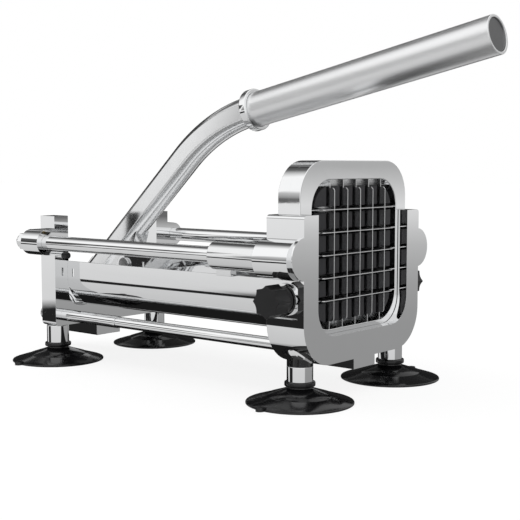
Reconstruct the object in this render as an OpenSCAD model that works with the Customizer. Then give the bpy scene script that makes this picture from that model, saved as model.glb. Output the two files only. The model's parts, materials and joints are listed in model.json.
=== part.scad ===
// Lever-operated french fry cutter on four suction feet, in millimetres.
// The lever swings on a bracket behind the rear frame and pulls two link straps, which slide a
// carriage and its slotted pusher block along two guide rods, through a removable blade cartridge.
// Every module is drawn with x = 0 on the front face, y = 0 on the centre plane and z = 0 on the
// table. The place() module then shifts the whole machine so that the origin is under its middle.

/* [Blade grid] */
// Distance from one blade to the next, the width of a fry
cut_pitch = 12.7; // [10:0.1:13]
// Number of blades each way
blade_count = 5; // [3:1:5]
// Thickness of a blade strip
blade_t = 0.6; // [0.4:0.1:1]
// Depth of a blade from its front edge to its rear edge
blade_depth = 16.4; // [14:0.1:17]
// How far the middle of a blade stands ahead of the cartridge face
blade_bulge = 3.2; // [1:0.1:5]
// Length of an upright blade's end that stays level with the cartridge face
upright_end_len = 4.6; // [3:0.1:8]
// Length of a level blade's end that stays level with the cartridge face
level_end_len = 7.1; // [5:0.1:10]
// How far a blade end reaches into the cartridge wall
blade_tab_len = 3; // [2:0.5:4]

/* [Blade cartridge] */
// Outer width and height of the cartridge
cart_w = 105.6; // [100:0.2:112]
// Wall of the cartridge round its opening
cart_wall = 10.6; // [9:0.1:12]
// Depth of the cartridge from front to back
cart_t = 15.3; // [13:0.1:18]
// Outer corner radius of the cartridge
cart_r = 21; // [18:0.5:24]
// Corner radius of its opening
cart_open_r = 17; // [14:0.5:19]
// Radius of a cartridge screw's head
cart_screw_head_r = 3.2; // [2.6:0.1:3.6]

/* [Front frame] */
// Height of the frame's underside above the table
frame_z = 21; // [19.4:0.1:24]
// Thickness of the lip in front of the cartridge
lip_t = 6.4; // [5:0.1:8]
// Thickness of the wall behind the cartridge
back_wall_t = 3.7; // [3:0.1:6]
// Thickness of the cheek beside the cartridge
cheek_t = 4.7; // [4.2:0.1:7]
// Thickness of the sill under the cartridge
sill_t = 7.4; // [6:0.1:10]
// Height of the cheeks' top edge above the grid's centre
cheek_rise = 23.2; // [20:0.1:30]
// Outer radius of the frame's bottom corners
frame_r = 24; // [20:0.5:27]
// How far the front lip reaches over the cartridge's edge
lip_cover = 8; // [6:0.1:9]
// Corner radius of the opening in the front lip
front_open_r = 16; // [12:0.5:20]
// Width of the tab under the frame
tab_w = 21.4; // [14:0.2:30]
// Height of the tab under the frame
tab_h = 6; // [3:0.2:8]
// Radius of the round ear on each side of the lip
ear_r = 11.8; // [11:0.1:13]
// Distance of an ear's centre from the centre plane
ear_y = 56.5; // [55.5:0.1:58]
// Height of the ears' centre above the table
ear_z = 81.3; // [80.5:0.1:82]
// Radius of the guide rod's boss behind the ear
ear_boss_r = 11; // [9:0.1:11.5]
// How far that boss stands out behind the frame
ear_boss_len = 0; // [0:0.1:6]
// Thickness of the ear's round plate in front of the boss
ear_plate_t = 2; // [1.6:0.1:3]
// Depth of the recess in the cheek round the clamp knob
cheek_recess = 2.2; // [1:0.1:3]
// Height of that recess
cheek_recess_h = 21; // [18:0.5:24]

/* [Bed] */
// Clear distance between the front frame and the rear frame
bed_len = 186.9; // [180:0.1:230]
// Radius of a guide rod
guide_r = 4.7; // [3.6:0.1:5]
// Distance of a guide rod from the centre plane
guide_y = 59.6; // [59.4:0.1:60]
// Height of the guide rods above the table
guide_z = 80.7; // [80:0.1:82]
// Radius of a tie rod
tie_r = 3.5; // [3:0.1:3.6]
// Distance of a tie rod from the centre plane
tie_y = 45; // [43:0.1:47]
// Height of the tie rods above the table
tie_z = 31.0; // [29:0.1:31]
// Radius of the ferrule round a tie rod's rear end
ferrule_r = 3.9; // [3.9:0.1:5]
// Length of that ferrule
ferrule_len = 52.5; // [20:0.5:80]
// Distance of the trough's outside from the centre plane
trough_half_w = 42.5; // [41.6:0.1:43.5]
// Height of the trough's underside above the table
trough_z = 36.3; // [35.5:0.1:36.8]
// Height of the trough's top edges above the table
trough_top_z = 67.5; // [62:0.5:68]
// Outer radius of the trough's bottom corners
trough_r = 20; // [16:0.5:21]
// Thickness of the trough's sheet
trough_t = 1; // [0.8:0.1:1.4]

/* [Rear frame] */
// Thickness of the rear frame along the bed
rear_t = 14.4; // [13:0.1:18]
// Distance of a post's outside from the centre plane
rear_half_w = 53.1; // [52.6:0.1:53.6]
// Width of a post
post_w = 11.6; // [11:0.1:12]
// Height of the posts' tops above the table
post_top_z = 97.9; // [92:0.1:110]
// Thickness of the cross member between the posts
cross_t = 12.3; // [11:0.1:12.6]
// Radius of the guide rod's boss on a post
rear_boss_r = 8.4; // [7:0.1:9]
// How far that boss stands out behind the frame
rear_boss_len = 2.4; // [2:0.1:8]
// Distance of a bump stop from the centre plane
stop_y = 50.7; // [50.2:0.1:51]
// Height of the bump stops above the table
stop_z = 72.1; // [71.4:0.1:72.4]
// Radius of a bump stop
stop_r = 2.1; // [1.5:0.1:2.4]
// Length of a bump stop's steel pin in front of the post
stop_pin_len = 6; // [4:0.1:8]
// Length of its rubber tip
stop_tip_len = 5; // [3:0.1:7]

/* [Pusher and carriage] */
// Distance of the fingers' front faces behind the front face
finger_x = 8; // [6:0.1:10]
// Length of the pusher block's fingers
finger_len = 16; // [15:0.1:17.5]
// Thickness of the block behind the fingers
block_t = 8; // [6:0.1:9]
// Gap between a finger and the blade beside it
finger_gap = 1.35; // [1:0.05:1.8]
// Gap between the pusher block and the cartridge wall
block_gap = 3.8; // [1:0.1:5]
// Corner radius of the pusher block
block_r = 13; // [10:0.5:16]
// Thickness of the carriage plate
plate_t = 6; // [4:0.5:7]
// Height of the carriage plate's top above the grid's centre
plate_rise = 21.5; // [15:0.5:22]
// Gap between the carriage plate and the trough
plate_gap = 1; // [0.6:0.1:2]
// Depth of the cross rib behind the plate
rib_t = 8; // [6:0.5:10]
// Height of the cross rib
rib_h = 13.6; // [10:0.2:13.8]
// Outer radius of a carriage sleeve
sleeve_r = 8.3; // [7.4:0.1:8.8]
// Length of a carriage sleeve
sleeve_len = 35.4; // [30:0.2:40]
// Length of the bush in each end of a sleeve
bush_len = 10; // [6:0.5:14]
// Wall of a bush
bush_wall = 1.3; // [1:0.1:1.6]
// Distance of the carriage pin behind the plate's back
tongue_len = 24; // [22:0.5:28]
// Height of the carriage pin above the table
carriage_pin_z = 81.3; // [80.5:0.1:82]

/* [Lever and links] */
// Distance of the lever's pivot behind the rear frame
pivot_back = 34.6; // [31:0.1:40]
// Height of the lever's pivot above the table
pivot_z = 26.2; // [25.6:0.1:27]
// Angle of the lever's lower arm above the bed
arm_angle = 42.5; // [42:0.1:44]
// Angle of the grip above the bed
grip_angle = 11.5; // [8:0.5:20]
// Length of the straight lower arm from the pivot to the bend
arm_len = 163.3; // [150:0.1:200]
// Radius of the bend
bend_r = 118; // [60:1:140]
// Radius of the round arm
arm_r = 9.5; // [8.6:0.1:10]
// Length of the flat root between the pivot and the round arm
root_len = 42; // [38:0.5:50]
// Thickness of the flat root and of the link pin's lug
root_t = 12; // [10:0.2:12.4]
// Radius of the eye at the pivot
eye_r = 12; // [10:0.2:12.4]
// Radius of the pivot pin
pivot_r = 4; // [3:0.1:5]
// Distance of the link pin from the pivot, along the arm
lug_along = 77.2; // [70:0.2:82]
// Distance of the link pin from the arm's centre line
lug_out = 19.4; // [17:0.2:21]
// Radius of the lug round the link pin
lug_r = 8; // [7:0.1:9]
// Radius of the link pins
link_pin_r = 3; // [2.4:0.1:4]
// Thickness of a link strap
strap_t = 3; // [2:0.1:4]
// Width of a link strap
strap_w = 12; // [9:0.2:14]
// Side clearance between two parts that turn on one pin
side_gap = 0.4; // [0.3:0.05:0.6]
// Thickness of a bracket ear
bracket_ear_t = 4.5; // [3:0.1:6]
// Radius of the bracket's ear round the pivot pin
bracket_r = 14; // [13.2:0.1:14.6]

/* [Grip] */
// Outer radius of the grip tube
grip_r = 10.7; // [10:0.1:12]
// Wall of the grip tube
grip_wall = 1.5; // [1:0.1:2]
// Length of the grip tube
grip_len = 168; // [130:1:200]
// Radius of the collar at the grip's root
collar_r = 13; // [12.4:0.1:15]
// Length of the collar
collar_len = 5; // [4:0.2:12]

/* [Clamp knobs] */
// Height of the clamp knobs above the table
clamp_z = 58.6; // [57.6:0.1:59.6]
// Radius of a clamp screw
clamp_r = 4; // [3:0.1:5]
// Radius of a clamp knob over its lobes
knob_r = 9; // [8.4:0.1:10.5]
// Length of the lobed part of a knob
knob_len = 11; // [8:0.1:14]
// Length of the round collar behind the lobes
knob_collar_len = 3.4; // [2:0.1:5]
// Lobes on a knob
knob_lobes = 8; // [6:1:10]
// Radius of the pad on the clamp screw's tip
pad_r = 6; // [5.4:0.1:7]
// Thickness of the pad
pad_t = 1.2; // [1:0.1:1.4]

/* [Feet] */
// Radius of a suction cup's rim
cup_r = 30.4; // [26:0.2:32]
// Height of a suction cup
cup_h = 12.2; // [10:0.2:14]
// Radius of the ring round a cup's neck
neck_r = 8.7; // [8.2:0.1:10]
// Radius of a foot post
foot_r = 7.4; // [6.6:0.1:7.8]
// Distance of the front feet behind the front face
foot_front_x = 12; // [11:0.2:14]
// Distance of the front feet from the centre plane
foot_front_y = 45.6; // [44.5:0.1:46]
// Distance of the rear feet from the centre plane
foot_rear_y = 45.7; // [45:0.1:47]

/* [Fits] */
// Gap between the cartridge and its slot
slot_gap = 0.3; // [0.2:0.05:0.5]
// Radial clearance of a pin, rod or screw in its hole
pin_gap = 0.05; // [0.02:0.01:0.08]
// Gap between two parts that rest close to each other
rest_gap = 0.3; // [0.2:0.05:0.5]

/* [Hidden] */
$fn = 64;
// Overshoot of a cut past the face it opens
cut = 1;

// Stations along the bed, from the front face back
cart_front = -lip_t - slot_gap;
cart_back = cart_front - cart_t;
slot_back = cart_back - slot_gap;
frame_back = slot_back - back_wall_t;
rear_front = frame_back - bed_len;
rear_back = rear_front - rear_t;
rear_mid = (rear_front + rear_back) / 2;
ear_back = frame_back - ear_boss_len;
rear_boss_back = rear_back - rear_boss_len;
pivot_x = rear_back - pivot_back;

// Front frame
cart_open_w = cart_w - 2 * cart_wall;
front_open_w = cart_w - 2 * lip_cover;
slot_half_w = cart_w / 2 + slot_gap;
slot_z = frame_z + sill_t;
grid_z = slot_z + slot_half_w;
frame_half_w = slot_half_w + cheek_t;
foot_boss_z = frame_z + frame_r / 2;
frame_top = grid_z + cheek_rise;
frame_top_r = 2;
back_open_half_w = trough_half_w - trough_t;
back_open_r = trough_r - trough_t;
trough_rebate = 1.5;
foot_stud_r = 4;
foot_stud_len = 8;
rod_end_wall = 3;
guide_front = -lip_t - rod_end_wall;
tie_seat = 3;

// Rear frame
cross_z = trough_z - cross_t;
rear_open_half_w = rear_half_w - post_w;
rear_open_r = 10;
rear_corner_r = 3;
boss_web_h = 17;
screw_r = 2;
screw_head_r = 3.2;
screw_head_h = 2;
trough_screw_y = 14;
trough_tongue_half_w = 20;
trough_slot_back = 4.6;
trough_slot_x = rear_front + trough_slot_back;
trough_slot_w = 1.5;
trough_slot_h = 5.5;
trough_slot_drop = 10.5;
stop_seat = 5;
stop_stud_r = 1.4;
rear_stud_r = 3;
rear_stud_len = 2.6;
screw_len = 9;
stop_tip_x = rear_front + stop_pin_len + stop_tip_len;
stop_cap_t = 2;

// Guide rod ends
washer_t = 1.5;
washer_r = 7.4;
nut_flats = 10.4;
nut_len = 6.4;
nut_dome_r = 4.6;
nut_dome_len = 2.2;
guide_thread_r = 3;
guide_thread_len = 6;
tie_thread_r = 2.5;
tie_nut_r = 4.5;
tie_nut_len = 7;

// Blades and cartridge
blade_mid = (blade_count - 1) / 2;
blade_front = cart_front + blade_bulge;
blade_back = blade_front - blade_depth;
blade_half_len = cart_open_w / 2 + blade_tab_len;
blade_corner = 1.2;
blade_lap_x = (cart_front + blade_back) / 2;
blade_slot_gap = 0.1;
cart_split = cart_front - cart_t / 2;
cart_cover_t = 1.2;
cart_screw_r = 1.6;
cart_screw_at = (cart_w / 2 + cart_open_w / 2 - (cart_r + cart_open_r) * (1 - sqrt(0.5))) / 2;
cart_screw_head_h = 1.8;

// Pusher and carriage
block_half_w = cart_open_w / 2 - block_gap;
finger_front = -finger_x;
finger_back = finger_front - finger_len;
block_back = finger_back - block_t;
plate_back = block_back - plate_t;
plate_half_w = trough_half_w - trough_t - plate_gap;
plate_r = trough_r - trough_t - plate_gap;
plate_z = trough_z + trough_t + 2 * plate_gap;
plate_top_r = 6;
rib_back = plate_back - rib_t;
sleeve_front = ear_back - rest_gap;
sleeve_back = sleeve_front - sleeve_len;
bush_bore_r = guide_r + pin_gap;
bush_r = bush_bore_r + bush_wall;
stop_block_y = 44;
stop_block_len = 11;
stop_block_gap = 1.4;
stop_block_z = trough_top_z + stop_block_gap;
stud_y = 20;
stud_r = 3;
stud_tip = 3;
hex_flats = 10;
hex_len = 5;
carriage_pin_x = plate_back - tongue_len;
tongue_half_t = root_t / 2;
tongue_h = 16;

// Lever
bend_angle = arm_angle - grip_angle;
strap_in = root_t / 2 + side_gap;
strap_out = strap_in + strap_t;
head_t = 1.8;
head_r = link_pin_r + head_t;
pivot_head_r = pivot_r + head_t;
bracket_in = root_t / 2 + side_gap;
bracket_out = bracket_in + bracket_ear_t;
bracket_z = pivot_z - bracket_r;
bracket_web_t = 6;
bracket_foot_t = 7.4;
bracket_rise = 9;
bracket_top_z = cross_z + bracket_rise;
bracket_screw_in = 3.2;
bracket_screw_x = rear_back + bracket_screw_in;
bracket_screw_y = 6.5;
link_pin_x = pivot_x + lug_along * cos(arm_angle) + lug_out * sin(arm_angle);
link_pin_z = pivot_z + lug_along * sin(arm_angle) - lug_out * cos(arm_angle);
strap_angle = atan2(carriage_pin_z - link_pin_z, carriage_pin_x - link_pin_x);
strap_len = norm([carriage_pin_x - link_pin_x, carriage_pin_z - link_pin_z]);
spigot_r = grip_r - grip_wall - pin_gap;
spigot_len = 45;
root_lap = 10;
root_half_h = arm_r - 1;
lug_foot = 2.6 * lug_r;
lug_side_angle = 30;
cap_len = 6;
cap_inset = 0.8;
collar_plate_t = 2;

// Clamps
clamp_x = (cart_front + cart_back) / 2;
pad_face_y = cart_w / 2 + pin_gap;
pad_back_y = pad_face_y + pad_t;
clamp_travel = 1.25;
pad_pocket_gap = 0.1;
pad_pocket_y = pad_back_y + clamp_travel + 2 * pad_pocket_gap;
pad_pocket_r = pad_r + pad_pocket_gap;
clamp_boss_r = 9;
clamp_tip_r = 2;
clamp_tip_len = 0.8;
knob_gap = 0.5;
knob_y = frame_half_w + knob_gap;
knob_end_y = knob_y + knob_collar_len + knob_len;
knob_lobe_h = 1.6;
knob_collar_r = knob_r - knob_lobe_h;
scallop_r = 7;
scallop_out = 5.7;
knob_cap_t = 3;

// Cups
cup_lip_t = 1;
cup_lip_w = 1.6;
cup_tab_w = 5;
cup_tab_out = 3;
cup_tab_h = 2.2;
cup_tab_angle = 96;
cup_stud_len = 7;
cup_neck_t = 2.6;
cup_neck_bevel = 0.9;
cup_tier_r = 6.9;
cup_tier_h = 1.2;
cup_hollow_h = 3.5;
hollow_steps = 4;
hollow_power = 0.8;

// The lever's highest and foremost reach gives the machine's length
bend_x = pivot_x + arm_len * cos(arm_angle);
neck_x = bend_x + bend_r * (sin(arm_angle) - sin(grip_angle));
neck_z = pivot_z + arm_len * sin(arm_angle) + bend_r * (cos(grip_angle) - cos(arm_angle));
tip_x = neck_x + (collar_plate_t + grip_len) * cos(grip_angle) + grip_r * sin(grip_angle);
centre_x = (tip_x + pivot_x - bracket_r) / 2;

steel = "#d4d6d8";
dull_steel = "#a9acae";
satin = "#b8babc";
rubber = "#1c1c1c";
plastic = "#26272a";
brass = "#b9a06a";

// Puts the origin under the middle of the machine
module place() translate([-centre_x, 0, 0]) children();

// The child and its mirror image on the other side of the centre plane
module both_sides() for (side = [0, 1]) mirror([0, side, 0]) children();

// A flat shape in y and z, made solid between two stations along the bed
module slab(x0, x1) translate([x0, 0, 0]) rotate([90, 0, 90]) linear_extrude(x1 - x0) children();

// A flat shape in x and z, made solid between two distances from the centre plane
module slice(y0, y1) translate([0, y1, 0]) rotate([90, 0, 0]) linear_extrude(y1 - y0) children();

// A round bar along the bed
module bar_x(x0, x1, r, y, z) translate([x0, y, z]) rotate([0, 90, 0]) cylinder(r = r, h = x1 - x0);

// A round bar across the bed
module bar_y(y0, y1, r, x, z) translate([x, y0, z]) rotate([-90, 0, 0]) cylinder(r = r, h = y1 - y0);

// A round bar standing up
module bar_z(z0, z1, r, x, y) translate([x, y, z0]) cylinder(r = r, h = z1 - z0);

// A trough-shaped outline: straight sides, rounded bottom corners and a square top
module u_shape(half_w, bottom, top, r) intersection() {
    translate([-half_w, bottom]) square([2 * half_w, top - bottom]);
    union() {
        translate([-half_w, bottom + r]) square([2 * half_w, top - bottom]);
        translate([r - half_w, bottom]) square([2 * (half_w - r), r + cut]);
        for (side = [-1, 1]) translate([side * (half_w - r), bottom + r]) circle(r = r);
    }
}

// A rectangle with four round corners, centred on the origin
module round_rect(w, h, r) {
    square([w, h - 2 * r], center = true);
    square([w - 2 * r, h], center = true);
    for (x = [-1, 1], y = [-1, 1]) translate([x * (w / 2 - r), y * (h / 2 - r)]) circle(r = r);
}

// The front frame's outline over one stretch of its depth
module frame_outline() {
    u_shape(frame_half_w, frame_z, frame_top - frame_top_r, frame_r);
    translate([frame_top_r - frame_half_w, frame_top - frame_top_r - cut])
        square([2 * (frame_half_w - frame_top_r), frame_top_r + cut]);
    for (side = [-1, 1])
        translate([side * (frame_half_w - frame_top_r), frame_top - frame_top_r])
            circle(r = frame_top_r);
    translate([-tab_w / 2, frame_z - tab_h]) square([tab_w, tab_h + cut]);
}

module front_frame() color(steel) place() difference() {
    union() {
        slab(frame_back, 0) frame_outline();
        both_sides() {
            bar_x(-ear_plate_t, 0, ear_r, ear_y, ear_z);
            bar_x(ear_back, -ear_plate_t, ear_boss_r, guide_y, guide_z);
            bar_z(frame_z, foot_boss_z, foot_r, -foot_front_x, foot_front_y);
        }
    }
    slab(slot_back, -lip_t)
        u_shape(slot_half_w, slot_z, frame_top + cut, cart_r + slot_gap);
    slab(-lip_t - cut, cut) u_shape(front_open_w / 2, grid_z - front_open_w / 2,
        frame_top + cut, front_open_r);
    slab(frame_back - cut, slot_back + cut) u_shape(back_open_half_w,
        grid_z - back_open_half_w, frame_top + cut, back_open_r);
    slab(frame_back - cut, frame_back + trough_rebate) u_shape(trough_half_w + pin_gap,
        trough_z - pin_gap, trough_top_z + rest_gap, trough_r + pin_gap);
    both_sides() {
        bar_x(ear_back - cut, guide_front, guide_r + pin_gap, guide_y, guide_z);
        bar_x(frame_back - cut, frame_back + tie_seat, tie_r + pin_gap, tie_y, tie_z);
        bar_z(frame_z - cut, frame_z + foot_stud_len + rest_gap,
            foot_stud_r + pin_gap, -foot_front_x, foot_front_y);
        bar_y(slot_half_w - cut, frame_half_w + cut, clamp_r + pin_gap, clamp_x, clamp_z);
        bar_y(slot_half_w - cut, pad_pocket_y, pad_pocket_r, clamp_x, clamp_z);
        difference() {
            translate([frame_back - cut, frame_half_w - cheek_recess,
                clamp_z - cheek_recess_h / 2])
                cube([-frame_back - lip_t / 2, cheek_recess + cut, cheek_recess_h]);
            bar_y(slot_half_w, frame_half_w + cut, clamp_boss_r, clamp_x, clamp_z);
            bar_x(ear_back, -ear_plate_t, ear_boss_r, guide_y, guide_z);
            bar_x(-ear_plate_t, 0, ear_r, ear_y, ear_z);
        }
    }
}

module rear_frame() color(steel) place() difference() {
    union() {
        slab(rear_back, rear_front)
            u_shape(rear_half_w, cross_z, post_top_z, rear_corner_r);
        both_sides() {
            bar_x(rear_boss_back, rear_front, rear_boss_r, guide_y, guide_z);
            translate([rear_back, rear_half_w - post_w / 2, guide_z - boss_web_h / 2])
                cube([rear_t, guide_y - rear_half_w + post_w / 2, boss_web_h]);
        }
    }
    slab(rear_back - cut, rear_front + cut)
        u_shape(rear_open_half_w, trough_z, post_top_z + cut, rear_open_r);
    both_sides() {
        bar_x(rear_boss_back - cut, rear_front + cut, guide_r + pin_gap, guide_y, guide_z);
        bar_x(rear_back - cut, rear_front + cut, tie_thread_r + pin_gap, tie_y, tie_z);
        bar_x(rear_front - stop_seat - rest_gap, rear_front + cut, stop_stud_r + pin_gap,
            stop_y, stop_z);
        bar_z(cross_z - cut, cross_z + rear_stud_len + rest_gap, rear_stud_r + pin_gap,
            rear_mid, foot_rear_y);
        bar_z(trough_z - screw_len - rest_gap, trough_z + cut, screw_r + pin_gap, rear_mid,
            trough_screw_y);
        bar_z(cross_z - cut, cross_z + screw_len + rest_gap, screw_r + pin_gap, bracket_screw_x,
            bracket_screw_y);
    }
}

module pivot_bracket() color(steel) place() difference() {
    union() {
        translate([rear_back, -bracket_out, bracket_z])
            cube([bracket_foot_t, 2 * bracket_out, cross_z - bracket_z]);
        translate([rear_back - bracket_web_t, -bracket_out, bracket_z])
            cube([bracket_web_t, 2 * bracket_out, bracket_top_z - bracket_z]);
        both_sides() slice(bracket_in, bracket_out) {
            translate([pivot_x, bracket_z]) square([pivot_back, bracket_top_z - bracket_z]);
            translate([pivot_x, pivot_z]) circle(r = bracket_r);
        }
    }
    bar_y(-bracket_out - cut, bracket_out + cut, pivot_r + pin_gap, pivot_x, pivot_z);
    both_sides() {
        bar_z(bracket_z - cut, cross_z + cut, screw_r + pin_gap, bracket_screw_x, bracket_screw_y);
        bar_z(bracket_z - cut, bracket_z + screw_head_h + rest_gap, screw_head_r + rest_gap,
            bracket_screw_x, bracket_screw_y);
    }
}

module bracket_screws() color(dull_steel) place() both_sides() {
    bar_z(bracket_z + rest_gap, bracket_z + rest_gap + screw_head_h, screw_head_r,
        bracket_screw_x, bracket_screw_y);
    bar_z(bracket_z + rest_gap + screw_head_h, cross_z + screw_len, screw_r,
        bracket_screw_x, bracket_screw_y);
}

module trough() color(steel) place() difference() {
    union() {
        difference() {
            slab(rear_front, frame_back + trough_rebate)
                u_shape(trough_half_w, trough_z, trough_top_z, trough_r);
            slab(rear_front - cut, frame_back + trough_rebate + cut) u_shape(
                trough_half_w - trough_t, trough_z + trough_t, trough_top_z + cut,
                trough_r - trough_t);
        }
        translate([rear_back + cut, -trough_tongue_half_w, trough_z])
            cube([rear_t, 2 * trough_tongue_half_w, trough_t]);
    }
    both_sides() {
        bar_z(trough_z - cut, trough_z + trough_t + cut, screw_r + pin_gap, rear_mid,
            trough_screw_y);
        translate([trough_slot_x, trough_half_w - trough_t - cut, trough_top_z - trough_slot_drop])
            cube([trough_slot_w, trough_t + 2 * cut, trough_slot_h]);
    }
}

module trough_screws() color(dull_steel) place() both_sides() {
    bar_z(trough_z - screw_len, trough_z + trough_t, screw_r, rear_mid, trough_screw_y);
    bar_z(trough_z + trough_t, trough_z + trough_t + screw_head_h, screw_head_r, rear_mid,
        trough_screw_y);
}

module guide_rod() {
    bar_x(rear_boss_back, guide_front - rest_gap, guide_r, guide_y, guide_z);
    bar_x(rear_boss_back - washer_t - guide_thread_len, rear_boss_back + cut, guide_thread_r,
        guide_y, guide_z);
}

module guide_rod_near() color(steel) place() mirror([0, 1, 0]) guide_rod();

module guide_rod_far() color(steel) place() guide_rod();

module guide_rod_washers() color(dull_steel) place() both_sides() difference() {
    bar_x(rear_boss_back - washer_t, rear_boss_back, washer_r, guide_y, guide_z);
    bar_x(rear_boss_back - washer_t - cut, rear_boss_back + cut, guide_thread_r + pin_gap,
        guide_y, guide_z);
}

module guide_rod_nuts() color(steel) place() both_sides() {
    nut_front = rear_boss_back - washer_t;
    difference() {
        union() {
            slab(nut_front - nut_len, nut_front) translate([guide_y, guide_z])
                circle(r = nut_flats / sqrt(3), $fn = 6);
            bar_x(nut_front - nut_len - nut_dome_len, nut_front - nut_len + cut, nut_dome_r,
                guide_y, guide_z);
        }
        bar_x(nut_front - guide_thread_len - rest_gap, nut_front + cut,
            guide_thread_r + pin_gap, guide_y, guide_z);
    }
}

module tie_rod() {
    bar_x(rear_front, frame_back + tie_seat - rest_gap, tie_r, tie_y, tie_z);
    bar_x(rear_back - tie_nut_len, rear_front + cut, tie_thread_r, tie_y, tie_z);
}

module tie_rod_near() color(steel) place() mirror([0, 1, 0]) tie_rod();

module tie_rod_far() color(steel) place() tie_rod();

module tie_rod_ferrules() color(steel) place() both_sides() difference() {
    bar_x(rear_front, rear_front + ferrule_len, ferrule_r, tie_y, tie_z);
    bar_x(rear_front - cut, rear_front + ferrule_len + cut, tie_r + pin_gap, tie_y, tie_z);
}

module tie_rod_nuts() color(steel) place() both_sides() difference() {
    bar_x(rear_back - tie_nut_len, rear_back, tie_nut_r, tie_y, tie_z);
    bar_x(rear_back - tie_nut_len - cut, rear_back + cut, tie_thread_r + pin_gap, tie_y, tie_z);
}

module bump_stop_pins() color(steel) place() both_sides() {
    bar_x(rear_front, rear_front + stop_pin_len, stop_r, stop_y, stop_z);
    bar_x(rear_front - stop_seat, stop_tip_x - stop_cap_t, stop_stud_r, stop_y, stop_z);
}

module bump_stop_tips() color(rubber) place() both_sides() difference() {
    bar_x(rear_front + stop_pin_len, stop_tip_x, stop_r, stop_y, stop_z);
    bar_x(rear_front + stop_pin_len - cut, stop_tip_x - stop_cap_t + rest_gap,
        stop_stud_r + pin_gap, stop_y, stop_z);
}

module carriage() color(dull_steel) place() difference() {
    union() {
        slab(plate_back, block_back) {
            u_shape(plate_half_w, plate_z, grid_z + plate_rise - plate_top_r, plate_r);
            translate([plate_top_r - plate_half_w, grid_z])
                square([2 * (plate_half_w - plate_top_r), plate_rise]);
            for (side = [-1, 1])
                translate([side * (plate_half_w - plate_top_r), grid_z + plate_rise - plate_top_r])
                    circle(r = plate_top_r);
        }
        translate([rib_back, -guide_y, guide_z - rib_h / 2]) cube([rib_t, 2 * guide_y, rib_h]);
        both_sides() {
            bar_x(sleeve_back, sleeve_front, sleeve_r, guide_y, guide_z);
            translate([sleeve_back, stop_block_y, stop_block_z])
                cube([stop_block_len, guide_y - stop_block_y, guide_z - stop_block_z]);
        }
        slice(-tongue_half_t, tongue_half_t) {
            translate([carriage_pin_x, carriage_pin_z - tongue_h / 2])
                square([tongue_len + cut, tongue_h]);
            translate([carriage_pin_x, carriage_pin_z]) circle(r = tongue_h / 2);
        }
    }
    both_sides() {
        bar_x(sleeve_back - cut, sleeve_front + cut, bush_r + pin_gap, guide_y, guide_z);
        bar_x(rib_back - cut, block_back + cut, stud_r + pin_gap, stud_y, grid_z);
    }
    bar_y(-root_t, root_t, link_pin_r + pin_gap, carriage_pin_x, carriage_pin_z);
}

module sleeve_bushes() color(brass) place() both_sides()
    for (x = [sleeve_back, sleeve_front - bush_len]) difference() {
        bar_x(x, x + bush_len, bush_r, guide_y, guide_z);
        bar_x(x - cut, x + bush_len + cut, bush_bore_r, guide_y, guide_z);
    }

module pusher_block() color(plastic) place() difference() {
    slab(block_back, finger_front) translate([0, grid_z])
        round_rect(2 * block_half_w, 2 * block_half_w, block_r);
    for (i = [-blade_mid:blade_mid]) {
        groove_w = blade_t + 2 * finger_gap;
        translate([finger_back, i * cut_pitch - groove_w / 2, grid_z - block_half_w - cut])
            cube([finger_len + cut, groove_w, 2 * (block_half_w + cut)]);
        translate([finger_back, -block_half_w - cut, grid_z + i * cut_pitch - groove_w / 2])
            cube([finger_len + cut, 2 * (block_half_w + cut), groove_w]);
    }
    both_sides() bar_x(block_back - cut, block_back + block_t / 2 + rest_gap, stud_r + pin_gap,
        stud_y, grid_z);
}

module pusher_studs() color(dull_steel) place() both_sides()
    bar_x(rib_back - hex_len - stud_tip, block_back + block_t / 2, stud_r, stud_y, grid_z);

module pusher_nuts() color(dull_steel) place() both_sides() difference() {
    slab(rib_back - hex_len, rib_back) translate([stud_y, grid_z])
        circle(r = hex_flats / sqrt(3), $fn = 6);
    bar_x(rib_back - hex_len - cut, rib_back + cut, stud_r + pin_gap, stud_y, grid_z);
}

module carriage_pin() color(dull_steel) place()
    bar_y(-tongue_half_t, tongue_half_t, link_pin_r, carriage_pin_x, carriage_pin_z);

// The cartridge ring over one stretch of its depth, with a slot for each blade's end
module cartridge_ring(x0, x1) difference() {
    slab(x0, x1) translate([0, grid_z]) difference() {
        round_rect(cart_w, cart_w, cart_r);
        round_rect(cart_open_w, cart_open_w, cart_open_r);
    }
    for (i = [-blade_mid:blade_mid]) {
        slot_w = blade_t + 2 * blade_slot_gap;
        reach = blade_half_len + blade_slot_gap;
        translate([blade_back - blade_slot_gap, i * cut_pitch - slot_w / 2, grid_z - reach])
            cube([cart_front - cart_cover_t - blade_back + blade_slot_gap, slot_w, 2 * reach]);
        translate([blade_back - blade_slot_gap, -reach, grid_z + i * cut_pitch - slot_w / 2])
            cube([cart_front - cart_cover_t - blade_back + blade_slot_gap, 2 * reach, slot_w]);
    }
}

// One hole or screw at each corner of the cartridge
module at_cartridge_corners() for (y = [-1, 1], z = [-1, 1])
    translate([0, y * cart_screw_at, grid_z + z * cart_screw_at]) children();

module cartridge_front() color(satin) place() difference() {
    cartridge_ring(cart_split, cart_front);
    at_cartridge_corners()
        bar_x(cart_split - cut, cart_front - cart_cover_t, cart_screw_r + pin_gap, 0, 0);
}

module cartridge_rear() color(steel) place() difference() {
    cartridge_ring(cart_back, cart_split);
    at_cartridge_corners() {
        bar_x(cart_back - cut, cart_split + cut, cart_screw_r + pin_gap, 0, 0);
        bar_x(cart_back - cut, cart_back + cart_screw_head_h, cart_screw_head_r + rest_gap, 0, 0);
    }
}

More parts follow.
